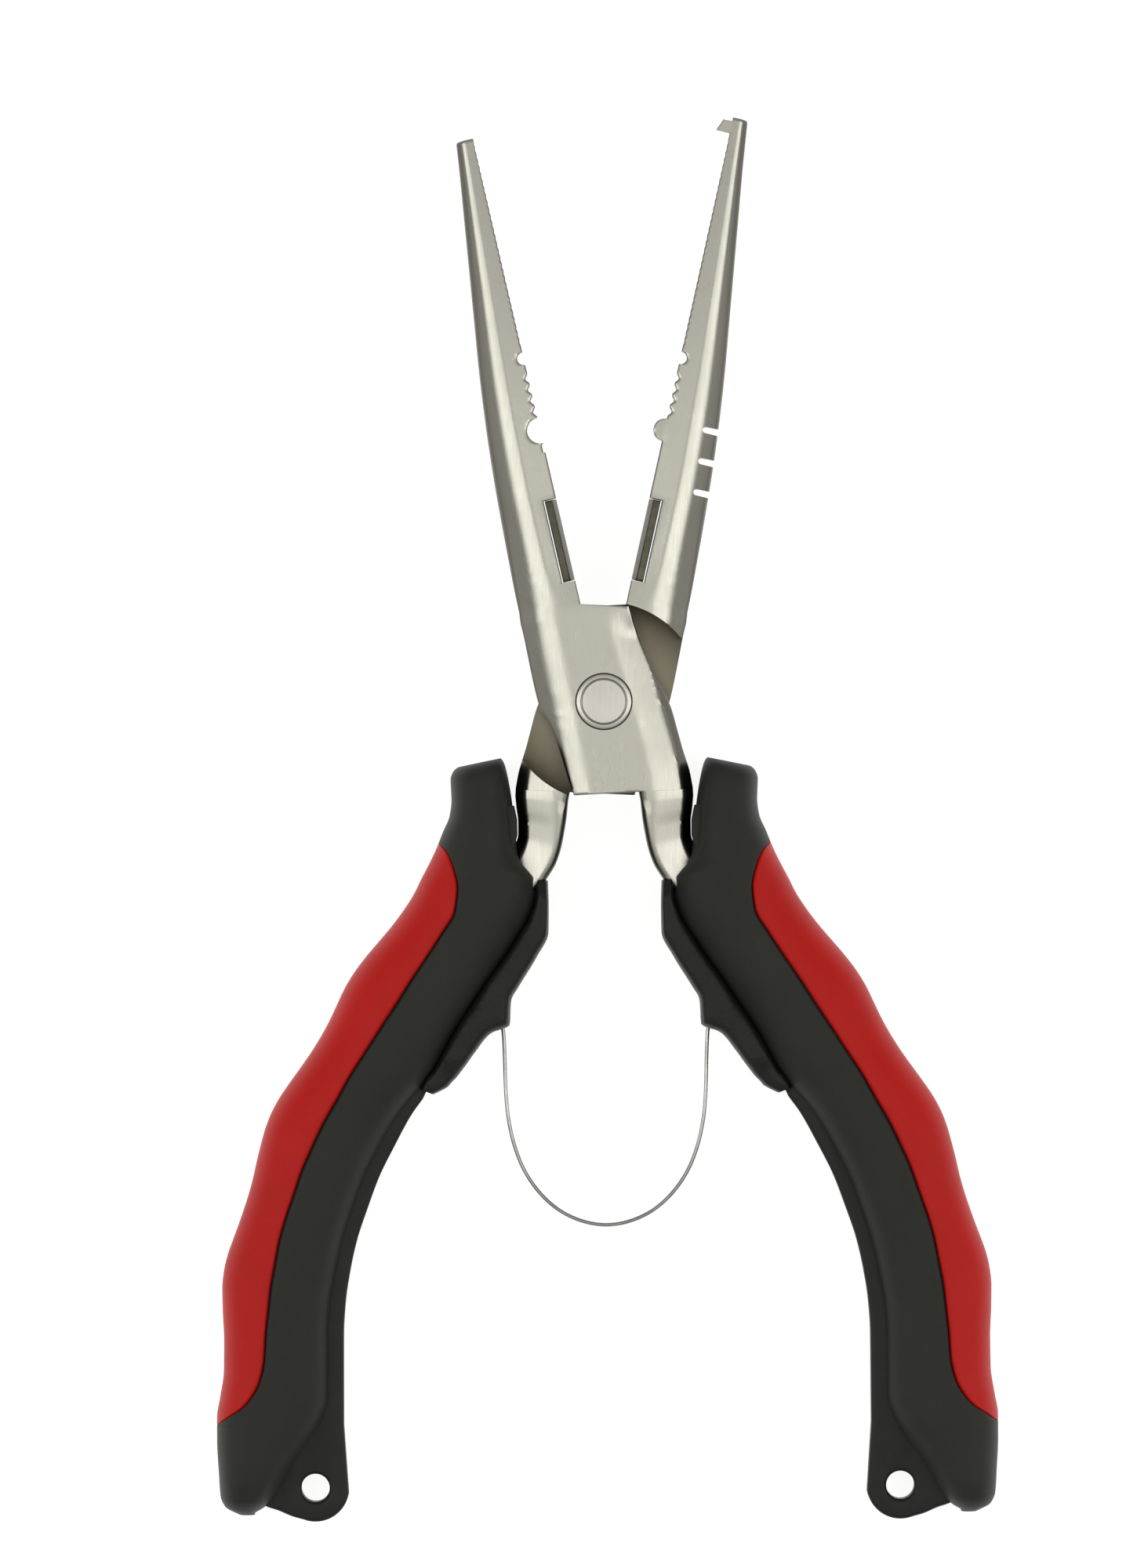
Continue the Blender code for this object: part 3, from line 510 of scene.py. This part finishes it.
def lever_rings(kind, grow=0.0, only_tang=False):
    rings = []
    if not only_tang:
        tip = TIPS[kind]
        for r in jaw_stations(kind):
            half = JAW_HALF(r)
            k = min(max((r - 13) / 14, 0), 1)

            def drop(da, db, length, half=half, k=k, r=r):
                jaw = half * (JAW_DROP_OUT(da / length) + JAW_DROP_IN(db / length))
                return (1 - k) * left_fall(da - 2.5) + k * jaw

            back = 0.35 * (1 - math.sqrt(1 - (1 - (tip - r) / 0.35) ** 2)) if tip - r < 0.35 else 0.0
            w = smooth(22, 13.4, r)
            across = [(1 - w) * p + w * q for p, q in zip(ACROSS, parts(0.794))]
            ends = jaw_point(r, JAW_OUT(r) - back), jaw_point(r, FACE)
            rings.append(section(*ends, half - back * 0.8, drop, jaw_cut(r, kind), across=across))
        rings.append(section((-10.67, 10.8), jaw_point(LAP_R - 0.01, FACE), HALF, lambda da, db, length: left_fall(da - 2.5), across=parts(0.794)))
        for k, (a, b) in enumerate(zip(along(HEAD_LEFT, 61), along(HEAD_RIGHT, 61))):

            def drop(da, db, length, a=a, b=b, w=smooth(0, 9, k)):
                x, y = a[0] + (b[0] - a[0]) * da / length, a[1] + (b[1] - a[1]) * da / length
                return left_fall(x - RIDGE_LEFT(y)) + right_fall(RIDGE_RIGHT(y) - x) * (0.1 + 0.9 * w)

            split = 0.437 + 0.109 * smooth(0, 60, k)
            rings.append(section(a, b, HALF, drop, across=parts(split)))
        # the head ends square, with a broken edge, and the tang goes on from its right-hand part
        (ax, ay), (bx, by) = HEAD_LEFT[-1], HEAD_RIGHT[-1]
        for step, fall, low in ((0.05, 0.03, ax), (0.1, 0.1, ax + 0.03), (0.14, 0.2, ax + 0.1), (0.16, 0.0, 4.4)):
            top = []
            for i, part in enumerate(parts(0.546) if low < 0 else parts(0.045)):
                x = max(ax + (bx - ax) * part, low) if low < 0 else low + (bx - low) * part
                y = ay + (x - ax) / (bx - ax) * (by - ay) - step
                z = HALF - right_fall(RIDGE_RIGHT(y) - x)
                if low > 0:
                    z = HALF - tang_fall(x - low, bx - x)
                else:
                    z -= left_fall(x - RIDGE_LEFT(y)) + fall * (1 - smooth(4.2, 4.7, x))
                if bx - x < 0.22:
                    z -= 0.22 - math.sqrt(max(0.0, 0.22**2 - (0.22 - (bx - x)) ** 2))
                top.append((x, y, max(z, 0.12)))
            rings.append([(x, y, MID + z) for x, y, z in top] + [(x, y, MID - z) for x, y, z in reversed(top)])

    for k, ((ax, ay), (bx, by)) in enumerate(zip(along([t[:2] for t in TANG], 26), along([t[2:] for t in TANG], 26))):
        half = TANG_HALF(-(ay + by) / 2) + grow

        def tang_drop(da, db, length):
            return tang_fall(da, db)

        length = math.hypot(bx - ax, by - ay)
        ux, uy = (bx - ax) / length * grow, (by - ay) / length * grow
        split = 0.045 + 0.3 * smooth(0, 14, k)
        rings.append(section((ax - ux, ay - uy), (bx + ux, by + uy), half, tang_drop, across=parts(split)))
    v = 26.0
    while v < 90:
        slope = TANG_LINE(v + 0.5) - TANG_LINE(v - 0.5)
        long = math.hypot(slope, 1)
        wide = 2.3 + grow
        nx, ny = wide / long, wide * slope / long
        x, y = TANG_LINE(v), -v
        rings.append(section((x - nx, y - ny), (x + nx, y + ny), TANG_HALF(v) + grow, lambda *_: 0.0))
        v += 8
    if kind == "rear":
        rings = [[(-x, y, 2 * MID - z) for x, y, z in ring] for ring in rings]
    return rings


def heights(kind, low, high):
    return (low, high) if kind == "front" else (2 * MID - high, 2 * MID - low)


for kind, body in (("front", "front_half"), ("rear", "rear_half")):
    sign = 1 if kind == "front" else -1
    obj = loft(kind + "_lever_fine", lever_rings(kind))
    helpers = [
        prism("cut_lap", disc(0, 0, LAP_R, 160), *heights(kind, -1, MID + 0.15)),
        prism("cut_bore", disc(0, 0, 2.8), -1, 15),
        prism("cut_seat", disc(0, 0, 3.66, 128), *heights(kind, MID + HALF - 1.4, 15)),
    ]
    if kind == "rear":
        for r in (36.6, 32.6, 28.6):
            outer = JAW_OUT(r)
            outline = [jaw_point(r - 0.42, outer + 1.5), jaw_point(r - 0.42, outer - 1.63)]
            for i in range(9):
                a = math.pi * i / 8
                outline.append(jaw_point(r - 0.42 * math.cos(a), outer - 1.63 - 0.42 * math.sin(a)))
            outline += [jaw_point(r + 0.42, outer - 1.63), jaw_point(r + 0.42, outer + 1.5)]
            clean = []
            for p in outline:
                if not clean or math.dist(p, clean[-1]) > 0.01:
                    clean.append(p)
            helpers.append(prism("cut_slot", [(-x, y) for x, y in clean], 0, 14))
    for helper in helpers:
        boolean(obj, "DIFFERENCE", helper)
    settle(obj, 30, helpers)
    finish_piece(obj, METAL[kind], body, "satin_nickel", kind + "_lever")
    # the flat lap floors at the parting plane take the darker painted-shade copy of the nickel
    obj.data.materials.append(LAP_SHADED)
    level = (MID + 0.15 if kind == "front" else MID - 0.15) * 0.001
    for face in obj.data.polygons:
        if abs(face.center.z - level) < 0.00003 and abs(face.normal.z) > 0.99:
            face.material_index = 1

    rings = []
    for r in [16.0, 16.05, 16.12] + spaced(16.3, 26.2, 12) + [26.38, 26.45, 26.5]:
        half = JAW_HALF(r)
        edge = 0.12 if r < 16.1 or r > 26.4 else (0.04 if r < 16.2 or r > 26.3 else 0.0)
        cross = [
            (FACE, 0.12), (FACE + 0.1, 0.7), (FACE + 0.5, half * 0.8), (FACE + 0.58, half * 0.86 - edge), (FACE + 0.68, half * 0.885 - edge),
            (FACE + 1.4, half * 0.9 - edge), (FACE + 1.5, half * 0.9 - 0.08 - edge),
        ]  # fmt: skip
        ring = [(t, z) for t, z in cross] + [(t, -z) for t, z in reversed(cross)]
        rings.append([(sign * jaw_point(r, t)[0], jaw_point(r, t)[1], MID + z) for t, z in ring])
    obj = settle(loft(kind + "_cutter_fine", rings), 30)
    finish_piece(obj, CARBIDE, body, "dark_carbide", kind + "_cutter")

# ------------------------------------------------------------------ the rivet
profile = [
    (0.0, 11.64), (0.5, 11.64), (1.2, 11.63), (2.35, 11.60), (2.72, 11.585), (2.78, 11.50), (2.86, 11.46),
    (2.94, 11.50), (3.0, 11.57), (3.3, 11.54), (3.48, 11.48), (3.58, 11.36), (3.6, 11.2), (3.6, 10.3), (2.6, 10.3),
]  # fmt: skip
profile += [(r, 14 - z) for r, z in reversed(profile)]
points, faces, turns = [], [], 128
for r, z in profile:
    points += [(r * math.cos(2 * math.pi * i / turns), r * math.sin(2 * math.pi * i / turns), z) for i in range(turns)] if r > 0 else [(0, 0, z)]
starts, count = [], 0
for r, z in profile:
    starts.append(count)
    count += turns if r > 0 else 1
for k in range(len(profile) - 1):
    a, b = starts[k], starts[k + 1]
    for i in range(turns):
        j = (i + 1) % turns
        if profile[k][0] == 0:
            faces.append((a, b + i, b + j))
        elif profile[k + 1][0] == 0:
            faces.append((a + i, b, a + j))
        else:
            faces.append((a + i, b + i, b + j, a + j))
obj = settle(mesh_from("pivot_rivet_fine", points, faces), 35)
finish_piece(obj, PIN, "front_half", "rivet_steel", "pivot_rivet")

# ------------------------------------------------------------------ the grips
OUTER = curve(
    [(7.9, 17.4), (8.3, 18.7), (8.9, 19.3), (9.8, 19.6), (12.5, 19.5), (14.5, 19.75), (16.5, 20.6), (18.5, 21.4),
     (20.5, 22.35), (22.5, 23.4), (24.5, 24.4), (26.5, 25.7), (28.5, 27.2), (30.5, 28.9), (32.5, 30.6), (34.5, 32.1),
     (36.5, 33.3), (38.5, 34.25), (40.5, 35.2), (42.5, 36.3), (44.5, 37.55), (46.5, 38.95), (48.5, 40.4), (50.5, 41.75),
     (52.5, 42.8), (54.5, 43.55), (56.5, 44.1), (58.5, 44.6), (60.5, 45.05), (62.5, 45.6), (64.5, 46.25), (66.5, 46.95),
     (68.5, 47.7), (70.5, 48.4), (72.5, 48.85), (74.5, 49.05), (77.5, 49.0), (81, 48.85), (85, 48.9), (88.5, 49.4),
     (91, 49.8), (94, 49.8), (98, 49.6), (101, 49.4), (102.4, 48.8), (103.4, 47.0)]
)  # fmt: skip
INNER = curve(
    [(6.9, 14.2), (7.2, 13.1), (8.2, 12.6), (12.4, 11.8), (16, 11.4), (19, 11.0), (20.6, 10.3), (21.8, 9.2), (22.6, 8.6),
     (24.5, 8.6), (27.1, 9.4), (29.8, 11.0), (32.4, 12.7), (35.6, 15.0), (39.3, 17.5), (42, 19.2), (46, 21.4), (49, 23.4),
     (52.5, 26.2), (56.5, 28.6), (60.5, 30.6), (64.5, 32.1), (68.5, 33.4), (72.5, 34.3), (76.5, 35.0), (80.5, 35.3),
     (88.4, 35.35), (91, 36.1), (94.4, 38.2), (97.3, 40.3), (99.8, 41.7), (101.4, 42.7), (102.4, 43.7), (103.2, 45.0)]
)  # fmt: skip
RAIL = curve(
    [(22.7, 7.25), (26, 7.15), (29.4, 7.2), (32.5, 8.7), (36.4, 11.1), (37.9, 11.95), (38.6, 12.05), (41.2, 12.2),
     (42.2, 14.6), (44.5, 16.55), (46.5, 18.0), (48.4, 19.6), (49.3, 21.2)]
)  # fmt: skip
SPINE = curve(
    [(48.0, 21.5), (50.5, 23.3), (52.5, 24.75), (56.5, 26.95), (60.5, 28.95), (64.5, 30.45), (68.5, 31.8), (72.5, 32.7),
     (76.5, 33.3), (80.5, 33.55), (92, 33.6)]
)  # fmt: skip
RED_EDGE = curve(
    [(17.9, 21.2), (19.3, 20.0), (21.7, 19.15), (23.5, 18.8), (26.5, 19.1), (29.5, 20.8), (32.5, 22.75), (35.5, 24.75),
     (38.5, 26.65), (41.5, 28.65), (44.5, 30.6), (47.5, 32.55), (50.5, 34.2), (53.5, 35.9), (56.5, 37.35), (59.5, 38.7),
     (62.5, 39.75), (65.5, 40.8), (68.5, 41.65), (71.5, 42.2), (74.5, 42.75), (77.5, 43.1), (80.5, 43.45), (83.5, 43.65),
     (86.5, 44.35), (88.5, 45.5), (89.7, 46.6), (90.9, 48.4), (92.0, 49.9)]
)  # fmt: skip
AXIS = curve(
    [(7.5, 15.95), (12, 15.7), (16.5, 16.0), (20.5, 16.6), (24.5, 17.4), (28.5, 19.0), (32.5, 21.8), (36.5, 24.4),
     (40.5, 26.8), (44.5, 29.2), (48.5, 31.8), (52.5, 34.4), (56.5, 36.3), (60.5, 37.8), (64.5, 39.2), (68.5, 40.4),
     (72.5, 41.4), (76.5, 42.0), (80.5, 42.1), (88.5, 42.4), (94, 43.8), (99, 45.4), (102, 46.2), (103.4, 46.4)]
)  # fmt: skip
LEAN = curve([(7.5, -12), (9.5, -8), (13, 0), (19, 8), (25, 25), (31, 34), (40, 32), (48, 29), (56, 23), (64, 18), (70, 12), (76, 5), (82, 1), (104, 0)])
THICK = curve([(7.7, 3.9), (7.85, 4.8), (8.3, 5.8), (9.2, 6.5), (10.6, 6.8), (13, 6.95), (16, 7.0), (95, 7.0), (99, 6.8), (101.5, 6.0), (102.8, 4.6), (103.4, 3.0)])


def reach(v, edge, sign):
    lean = math.radians(LEAN(v))
    low, high = 0.0, 22.0
    for _ in range(36):
        mid = (low + high) / 2
        x = AXIS(v) + sign * mid * math.cos(lean)
        if sign * (x - edge(v - sign * mid * math.sin(lean))) < 0:
            low = mid
        else:
            high = mid
    return low


def at(v, across, z):
    lean = math.radians(LEAN(v))
    return (AXIS(v) + across * math.cos(lean), -(v - across * math.sin(lean)), MID + z)


def shape(angle):
    c, s = math.cos(angle), math.sin(angle)
    return math.copysign(abs(c) ** (2 / POWER), c), math.copysign(abs(s) ** (2 / POWER), s)


def measure(v):
    out, inn = reach(v, OUTER, 1), reach(v, INNER, -1)
    mid, half = (out - inn) / 2, (out + inn) / 2
    edge = (reach(v, RED_EDGE, 1) - mid) / half
    edge = min(max(edge, -0.9), 0.9995)
    seam = math.acos(math.copysign(abs(edge) ** (POWER / 2), edge))
    return mid, half, THICK(v), max(seam, 0.03)


def surface(v, m, angle, inset):
    mid, half, tall, _ = m
    c, s = shape(angle)
    k = 1 - inset / half
    kz = 1 - inset / tall
    return at(v, mid + half * c * k, tall * s * kz)


def unfold(low, high, count):
    """Angles spaced evenly from low to high."""
    return spaced(low, high, count)


def cover_ring(v):
    m = measure(v)
    half, seam = m[1], m[3]
    deep = smooth(0.06, 0.3, seam)  # the pocket fades out at its two ends
    d = 0.16 / 7.5
    ring = [surface(v, m, a, 0.0) for a in unfold(seam + 3.2 * d, 2 * math.pi - seam - 3.2 * d, 64)]
    steps = [(2.0, 0.03), (1.1, 0.1), (0.5, 0.26), (0.1, 0.6), (-0.5, 0.9)]
    ring += [surface(v, m, -seam - k * d, deep * i) for k, i in steps]
    low = seam - 1.5 * d
    ring += [surface(v, m, a, deep * 0.9) for a in spaced(-low * 0.98, low * 0.98, 13)]
    ring += [surface(v, m, seam + k * d, deep * i) for k, i in reversed(steps)]
    return ring


def inlay_ring(v):
    m = measure(v)
    seam = m[3]
    d = 0.16 / 7.5
    wide = max(seam - 0.6 * d, 0.01)
    ring = []
    edge = [(0.0, 0.75), (0.35, 0.4), (0.9, 0.17), (1.8, 0.05), (3.0, 0.0)]
    f = min(1.0, wide / (6 * d))
    ring += [surface(v, m, -wide + k * d * f, i) for k, i in edge]
    low = wide - 3.8 * d * f
    ring += [surface(v, m, a, -0.0) for a in spaced(-low, low, 31)]
    ring += [surface(v, m, wide - k * d * f, i) for k, i in reversed(edge)]
    ring += [surface(v, m, a, 1.2) for a in spaced(wide * 0.97, -wide * 0.97, 15)]
    return ring


def mirrored(ring, side):
    return [(side * x, y, z) for x, y, z in ring]


def room(side, kind):
    """The slot that the tang leaves through."""
    return loft("cut_tang", lever_rings(kind, 0.14, True))


for side, name, kind, body in ((1, "right", "front", "front_half"), (-1, "left", "rear", "rear_half")):
    stations = [7.7, 7.74, 7.8, 7.9, 8.05, 8.25, 8.5, 8.8] + spaced(9.2, 17.8, 16) + spaced(18.1, 24.0, 30) + spaced(24.3, 86.5, 170)
    stations += spaced(86.8, 102.4, 64) + [102.6, 102.8, 102.95, 103.1, 103.2, 103.3, 103.36, 103.4]
    cover = loft(name + "_cover_fine", [mirrored(cover_ring(v), side) for v in stations])
    tang = room(side, kind)
    boolean(cover, "DIFFERENCE", tang)
    settle(cover, 50, [tang])
    finish_piece(cover, BLACK, body, "black_overmould", name + "_cover")

    stations = spaced(18.0, 24.0, 30) + spaced(24.3, 86.5, 170) + spaced(86.8, 91.9, 28)
    inlay = settle(loft(name + "_inlay_fine", [mirrored(inlay_ring(v), side) for v in stations]), 60)
    finish_piece(inlay, RED, body, "red_inlay", name + "_inlay")

    # the lip that closes the mouth round the tang
    lip = [(11.5, -13.2), (11.12, -15.0), (11.1, -17.0), (11.5, -18.4), (12.3, -19.9), (13.6, -21.6), (14.6, -21.0), (14.6, -13.2)]
    lip = prism(name + "_lip_fine", [(side * x, y) for x, y in lip], MID - 4.4, MID + 4.4)
    tang = room(side, kind)
    boolean(lip, "DIFFERENCE", tang)
    rounded(lip, 0.3, 3, 30)
    settle(lip, 40, [tang])
    finish_piece(lip, HARD, body, "black_nylon")

    # the web behind the end of the tang's mouth, between the cover and the rail
    web = prism(name + "_web_fine", [(side * x, y) for x, y in [(8.2, -24.5), (8.3, -23.9), (8.8, -23.7), (9.5, -23.9), (9.6, -24.9), (8.8, -25.2)]], MID - 2.4, MID + 2.4)
    settle(web, 40)
    finish_piece(web, HARD, body, "black_nylon")

    # spring rail
    rings = []
    for v in [22.8, 22.85, 22.95, 23.15, 23.4] + spaced(23.7, 48.4, 90):
        lean = math.radians(LEAN(v))
        x0 = RAIL(v)
        reach_in = 0.5
        while reach_in < 9 and x0 + reach_in * math.cos(lean) < INNER(v - reach_in * math.sin(lean)) + 0.18:
            reach_in += 0.02
        tall = 4.7 - 1.0 * (1 - smooth(22.8, 25.5, v)) - 0.8 * smooth(46.0, 48.4, v)
        tall -= 0.5 * max(0, 1 - (v - 22.8) / 0.35)
        ring = []
        for i in range(36):
            a = 2 * math.pi * (i + 0.5) / 36
            c = math.copysign(abs(math.cos(a)) ** 0.42, math.cos(a))
            s = math.copysign(abs(math.sin(a)) ** 0.55, math.sin(a))
            u = 0.5 + 0.5 * c
            ring.append((side * (x0 + reach_in * u * math.cos(lean)), -(v - reach_in * u * math.sin(lean)), MID + s * tall))
        rings.append(ring)
    last = len(rings) - 1
    for (ax, av), (bx, bv), tall in (((20.1, 49.0), (22.9, 47.6), 3.85), ((20.7, 49.35), (23.2, 48.15), 3.8), ((21.4, 49.7), (23.5, 48.75), 3.7), ((21.95, 49.95), (23.7, 49.25), 3.45)):
        ring = []
        for i in range(36):
            a = 2 * math.pi * (i + 0.5) / 36
            c = math.copysign(abs(math.cos(a)) ** 0.42, math.cos(a))
            s = math.copysign(abs(math.sin(a)) ** 0.55, math.sin(a))
            u = 0.5 + 0.5 * c
            ring.append((side * (ax + (bx - ax) * u), -(av + (bv - av) * u), MID + s * tall))
        rings.append(ring)
    rail = loft(name + "_rail_fine", rings)
    tang = room(side, kind)
    socket = prism("cut_socket", disc(side * SOCKET_X, -SOCKET_V, 0.95, 48), MID - 1.5, MID + 2.6)
    fan = [(0.95, 0.35), (-0.95, 0.35), (-3.6, -3.5), (4.0, -4.5)]
    way = prism("cut_way", [(side * (SOCKET_X + x), -SOCKET_V + y) for x, y in fan], MID - 0.6, MID + 0.6)
    for other in (tang, socket, way):
        boolean(rail, "DIFFERENCE", other)
    settle(rail, 40, [tang, socket, way])
    finish_piece(rail, RAIL_MAT, body, "black_nylon", name + "_rail")

    # core: the spine and the lanyard eye that show
    edge = [(SPINE(v), -v) for v in spaced(50.5, 92, 70)]
    arc = [(EYE_X + EYE_R * math.cos(a), -EYE_V + EYE_R * math.sin(a)) for a in [math.radians(190 + 100 * i / 36) for i in range(37)]]
    join = curve([(38.72, 104.04), (40.2, 103.62), (42.0, 102.85), (43.6, 102.3), (44.6, 101.4)])
    back = [(x, -join(x)) for x in spaced(39.1, 44.5, 16)] + [(44.7, -99.5), (44.7, -91.0)]
    up = [(SPINE(v) + 6.2, -v) for v in spaced(88, 53.5, 40)]
    outline = [(side * x, y) for x, y in [(22.6, -49.0)] + edge + arc + back + up + [(SPINE(50.5) + 3.0, -48.7)]]
    plate = prism(name + "_core_fine", outline, MID - 2.6, MID + 2.6)
    eye = prism("cut_eye", disc(side * EYE_X, -EYE_V, EYE_HOLE, 64), 0, 14)
    boolean(plate, "DIFFERENCE", eye)
    rounded(plate, 0.45, 4, 30)
    settle(plate, 40, [eye])
    finish_piece(plate, HARD, body, "black_nylon", name + "_core")

# ------------------------------------------------------------------ the spring wire, bent between its two halves
half = [
    (SOCKET_X, -SOCKET_V, 2.1), (SOCKET_X, -SOCKET_V, 0.9), (SOCKET_X + 0.01, -SOCKET_V - 0.15, 0.25), (SOCKET_X + 0.02, -SOCKET_V - 0.9, 0.0),
    (12.95, -43.0, 0), (12.85, -46.0, 0), (12.75, -49.5, 0), (12.45, -53.0, 0), (11.7, -56.5, 0), (10.4, -59.8, 0),
    (8.4, -62.7, 0), (5.9, -64.9, 0), (3.0, -66.25, 0),
]  # fmt: skip
line = half + [(0.0, -66.72, 0)] + [(-x, y, z) for x, y, z in reversed(half)]


def spline(points, per):
    out = []
    for i in range(len(points) - 1):
        p0, p1, p2, p3 = (Vector(points[max(0, min(len(points) - 1, i + k))]) for k in (-1, 0, 1, 2))
        for j in range(per):
            t = j / per
            out.append(0.5 * ((2 * p1) + (p2 - p0) * t + (2 * p0 - 5 * p1 + 4 * p2 - p3) * t * t + (3 * p1 - p0 - 3 * p2 + p3) * t**3))
    out.append(Vector(points[-1]))
    return out


path = spline(line, 14)
rings = []
up = Vector((0, 1, 0))
for i, p in enumerate(path):
    ahead = (path[min(i + 1, len(path) - 1)] - path[max(i - 1, 0)]).normalized()
    side_way = ahead.cross(up)
    if side_way.length < 1e-4:
        side_way = ahead.cross(Vector((1, 0, 0)))
    side_way.normalize()
    up = side_way.cross(ahead).normalized()
    radius = WIRE_R * (0.8 if i in (0, len(path) - 1) else 1.0)
    rings.append([tuple(p + (side_way * math.cos(a) + up * math.sin(a)) * radius + Vector((0, 0, MID))) for a in [2 * math.pi * k / 16 for k in range(16)]])
wire = settle(loft("spring_wire_fine", rings), 50)
wire.data.materials.clear()
wire.data.materials.append(STEEL)
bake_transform(wire)
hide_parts("spring_right", "spring_left")

# ------------------------------------------------------------------ stage, light and camera
floor_mesh = bpy.data.meshes.new("floor")
floor_mesh.from_pydata([(-3, -3, 0), (3, -3, 0), (3, 3, 0), (-3, 3, 0)], [], [(0, 1, 2, 3)])
floor = bpy.data.objects.new("floor", floor_mesh)
bpy.context.scene.collection.objects.link(floor)
paper = bpy.data.materials.new("paper")
paper.use_nodes = True
paper.node_tree.nodes["Principled BSDF"].inputs["Base Color"].default_value = (0.30, 0.30, 0.30, 1)
paper.node_tree.nodes["Principled BSDF"].inputs["Emission Color"].default_value = (1, 1, 0.995, 1)
paper.node_tree.nodes["Principled BSDF"].inputs["Emission Strength"].default_value = 0.88
paper.node_tree.nodes["Principled BSDF"].inputs["Roughness"].default_value = 0.9
floor_mesh.materials.append(paper)
floor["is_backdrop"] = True


def area(name, place, size, power, aim=(0, 0, 0)):
    data = bpy.data.lights.new(name, "AREA")
    data.shape = "RECTANGLE"
    data.size, data.size_y = size
    data.energy = power
    obj = bpy.data.objects.new(name, data)
    bpy.context.scene.collection.objects.link(obj)
    obj.location = place
    obj.rotation_euler = (Vector(aim) - Vector(place)).to_track_quat("-Z", "Y").to_euler()
    return obj


def radiant(size, radiance):
    return radiance * math.pi * size[0] * size[1]


area("left_box", (-0.86, 0.0, 1.0), (0.46, 1.8), radiant((0.46, 1.8), 1.85))
area("right_box", (0.86, 0.0, 1.0), (0.46, 1.8), radiant((0.46, 1.8), 1.85))
area("overhead", (0.0, 0.0, 2.6), (1.2, 2.4), radiant((1.2, 2.4), 0.17))
world = bpy.data.worlds.new("studio")
world.use_nodes = True
world.node_tree.nodes["Background"].inputs["Color"].default_value = (1.0, 0.99, 0.96, 1)
world.node_tree.nodes["Background"].inputs["Strength"].default_value = 0.44
bpy.context.scene.world = world
bpy.context.scene.view_settings.view_transform = "Standard"
bpy.context.scene.view_settings.look = "None"

roll = math.radians(0.3)
cx, cy = -5.2, -10.5
camera_data = bpy.data.cameras.new("camera")
camera_data.sensor_width = 36
camera_data.lens = 36 / (0.2 / 2.0)
camera_data.clip_start = 0.1
camera_data.clip_end = 50
camera = bpy.data.objects.new("camera", camera_data)
bpy.context.scene.collection.objects.link(camera)
camera.location = (
    (cx * math.cos(-roll) - cy * math.sin(-roll)) * 0.001,
    (cx * math.sin(-roll) + cy * math.cos(-roll) + PIVOT_Y) * 0.001,
    2.007,
)
camera.rotation_euler = (0, 0, -roll)
bpy.context.scene.camera = camera

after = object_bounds()


def plain(value):
    if isinstance(value, dict):
        return {k: plain(v) for k, v in value.items()}
    if isinstance(value, (str, int, float, bool)) or value is None:
        return value
    return [plain(v) for v in value]


{"cad": plain(before), "visual": plain(after)}
